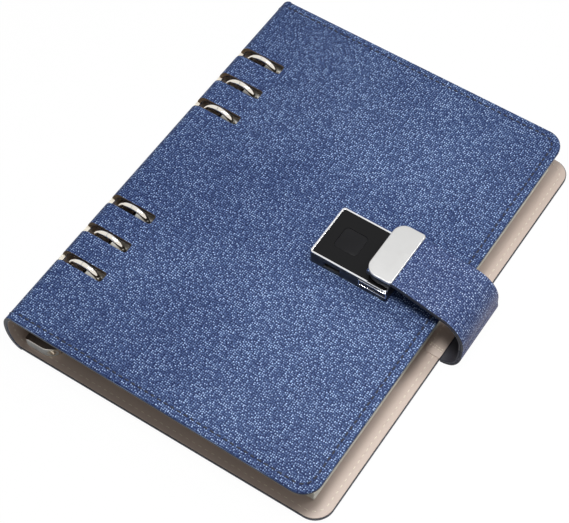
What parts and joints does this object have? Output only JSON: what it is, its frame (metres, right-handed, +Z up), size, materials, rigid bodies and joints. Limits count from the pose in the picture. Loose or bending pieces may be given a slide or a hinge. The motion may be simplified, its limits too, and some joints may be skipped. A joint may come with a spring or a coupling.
{
  "type": "fingerprint lock notebook",
  "caption": "Loose-leaf ring notebook with a strap clasp and a fingerprint lock on its front cover.",
  "frame": {"origin": "middle of the closed notebook's footprint, on the table", "axes": "+X from the spine to the fore edge, +Y along the spine, +Z up through the closed covers"},
  "size_m": [0.1822, 0.227, 0.0375],
  "materials": {
    "skin": "fine crosshatch grain, satin",
    "lining": "smooth, matt",
    "board": "raw",
    "nickel": "polished nickel plate",
    "steel": "plain",
    "brass_end": "lacquered",
    "paper": "uncoated",
    "black_shell": "fine moulded texture",
    "rim": "mirror",
    "black_glass": "mirror gloss",
    "pad": "semi gloss",
    "circuit": "solder mask",
    "cell": "foil",
    "satin_plate": "fine satin",
    "clasp_metal": "black",
    "strap_inside": "smooth, matt",
    "white_plastic": "plain"
  },
  "bodies": {
    "back_cover": {"back_cover_skin": "skin", "back_cover_board": "board", "back_cover_lining": "lining", "ring_cover_plate": "nickel", "mechanism_rivets": "nickel", "release_plug": "white_plastic", "page_block": "paper", "strap_root_skin": "skin", "strap_root_lining": "strap_inside", "strap_root_tab": "lining"},
    "spine": {"spine_skin": "skin", "spine_board": "board", "spine_lining": "lining"},
    "front_cover": {"front_cover_skin": "skin", "front_cover_board": "board", "front_cover_lining": "lining", "lock_housing": "black_shell", "lock_bezel": "rim", "sensor_glass": "black_glass", "fingerprint_sensor": "pad", "circuit_board": "circuit", "battery": "cell", "charging_port": "steel", "lock_back_plate": "steel", "lock_screws": "steel", "latch_motor": "steel", "latch_guide": "black_shell", "motor_bed": "black_shell"},
    "strap": {"strap_skin": "skin", "strap_lining": "strap_inside", "clasp_plate": "satin_plate", "clasp_base": "clasp_metal", "clasp_hook": "steel", "clasp_rivets": "steel"},
    "rings_left": {"rail_left": "steel", "ring_left_1": "nickel", "ring_left_2": "nickel", "ring_left_3": "nickel", "ring_left_4": "nickel", "ring_left_5": "nickel", "ring_left_6": "nickel"},
    "rings_right": {"rail_right": "steel", "ring_right_1": "nickel", "ring_right_2": "nickel", "ring_right_3": "nickel", "ring_right_4": "nickel", "ring_right_5": "nickel", "ring_right_6": "nickel"},
    "release_button": {"release_button": "brass_end"},
    "latch_bolt": {"latch_bolt": "steel"},
    "drive_pinion": {"drive_pinion": "white_plastic", "motor_shaft": "steel"}
  },
  "joints": [
    {"name": "cover_open", "type": "hinge", "parent": "spine", "child": "front_cover", "pos_m": [-0.09036, 0, 0.01934], "axis": [0, -1, 0], "range_deg": [0, 86]},
    {"name": "spine_fold", "type": "hinge", "parent": "back_cover", "child": "spine", "pos_m": [-0.09036, 0, 0.00726], "axis": [0, -1, 0], "range_deg": [0, 86]},
    {"name": "strap_swing", "type": "hinge", "parent": "front_cover", "child": "strap", "pos_m": [0.09112, 0.0033, 0.0136], "axis": [0, 1, 0], "range_deg": [0, 150]},
    {"name": "ring_right_open", "type": "hinge", "parent": "back_cover", "child": "rings_right", "pos_m": [-0.06662, 0, 0.0046], "axis": [0, 1, 0], "range_deg": [0, 7]},
    {"name": "ring_left_open", "type": "hinge", "parent": "back_cover", "child": "rings_left", "pos_m": [-0.08282, 0, 0.0046], "axis": [0, -1, 0], "range_deg": [0, 7]},
    {"name": "release_push", "type": "slide", "parent": "back_cover", "child": "release_button", "axis": [0, 1, 0], "range_m": [0, 0.002]},
    {"name": "bolt_slide", "type": "slide", "parent": "front_cover", "child": "latch_bolt", "axis": [0, 1, 0], "range_m": [0, 0.003]},
    {"name": "pinion_turn", "type": "hinge", "parent": "front_cover", "child": "drive_pinion", "pos_m": [0.04426, -0.0049, 0.02689], "axis": [0.9995, 0, -0.0332], "range_deg": [0, 143.74]}
  ],
  "couplings": [
    {"joint": "spine_fold", "follows": "cover_open", "ratio": 1},
    {"joint": "ring_left_open", "follows": "ring_right_open", "ratio": 1},
    {"joint": "release_push", "follows": "ring_right_open", "m_per_rad": 0.01637},
    {"joint": "pinion_turn", "follows": "bolt_slide", "rad_per_m": 833.33}
  ]
}
